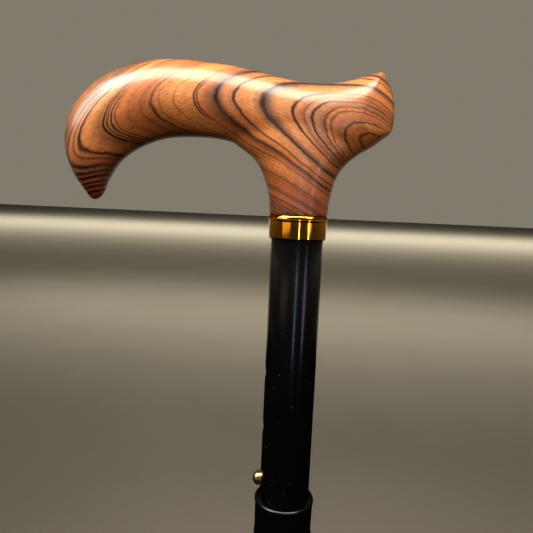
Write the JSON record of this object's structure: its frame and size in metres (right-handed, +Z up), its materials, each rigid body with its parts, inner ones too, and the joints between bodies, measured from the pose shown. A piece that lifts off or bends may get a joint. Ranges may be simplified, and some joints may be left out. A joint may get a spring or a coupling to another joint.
{
  "type": "single point cane",
  "caption": "Height-adjustable walking cane with a wooden derby handle, brass collar, two-section black tube, snap button, lock ring and one rubber tip.",
  "frame": {"origin": "centre of the rubber tip's flat underside", "axes": "+Z up along the shaft, the handle's nose towards -X and its heel towards +X"},
  "size_m": [0.1372, 0.036, 0.9278],
  "materials": {
    "lacquered_wood": "gloss lacquer over dark-veined wood",
    "brass": "polished",
    "steel": "zinc plated",
    "spring_steel": "blued spring steel",
    "nylon": "moulded nylon",
    "black_tube": "gloss black on aluminium tube",
    "black_plastic": "gloss moulded",
    "rubber": "matte moulded"
  },
  "bodies": {
    "handle_section": {"handle": "lacquered_wood", "handle_insert": "brass", "handle_stud": "steel", "tube_plug": "nylon", "plug_pin": "steel", "stud_washer": "steel", "stud_nut": "steel", "collar": "brass", "handle_tube": "black_tube", "lock_collet": "nylon"},
    "leg_section": {"leg_tube": "black_tube", "top_bush": "nylon", "tip_washer": "steel", "rubber_tip": "rubber", "snap_spring": "spring_steel"},
    "button": {"snap_button": "brass"},
    "wedge": {"wedge_ring": "nylon"},
    "ring": {"lock_ring": "black_plastic"}
  },
  "joints": [
    {"name": "height_adjust", "type": "slide", "parent": "handle_section", "child": "leg_section", "axis": [0, 0, 1], "range_m": [0, 0.0508], "deforming": ["snap_button", "snap_spring"]},
    {"name": "button_press", "type": "slide", "parent": "leg_section", "child": "button", "axis": [1, 0, 0], "range_m": [0, 0.0052], "stiffness_N_per_m": 400, "springref_m": -0.001, "deforming": ["snap_spring"]},
    {"name": "wedge_slide", "type": "slide", "parent": "handle_section", "child": "wedge", "axis": [0, 0, -1], "range_m": [0, 0.002]},
    {"name": "ring_turn", "type": "hinge", "parent": "wedge", "child": "ring", "pos_m": [0, 0, 0.724], "axis": [0, 0, -1], "range_deg": [0, 360]}
  ],
  "couplings": [
    {"joint": "wedge_slide", "follows": "ring_turn", "m_per_rad": 0.00031831}
  ]
}
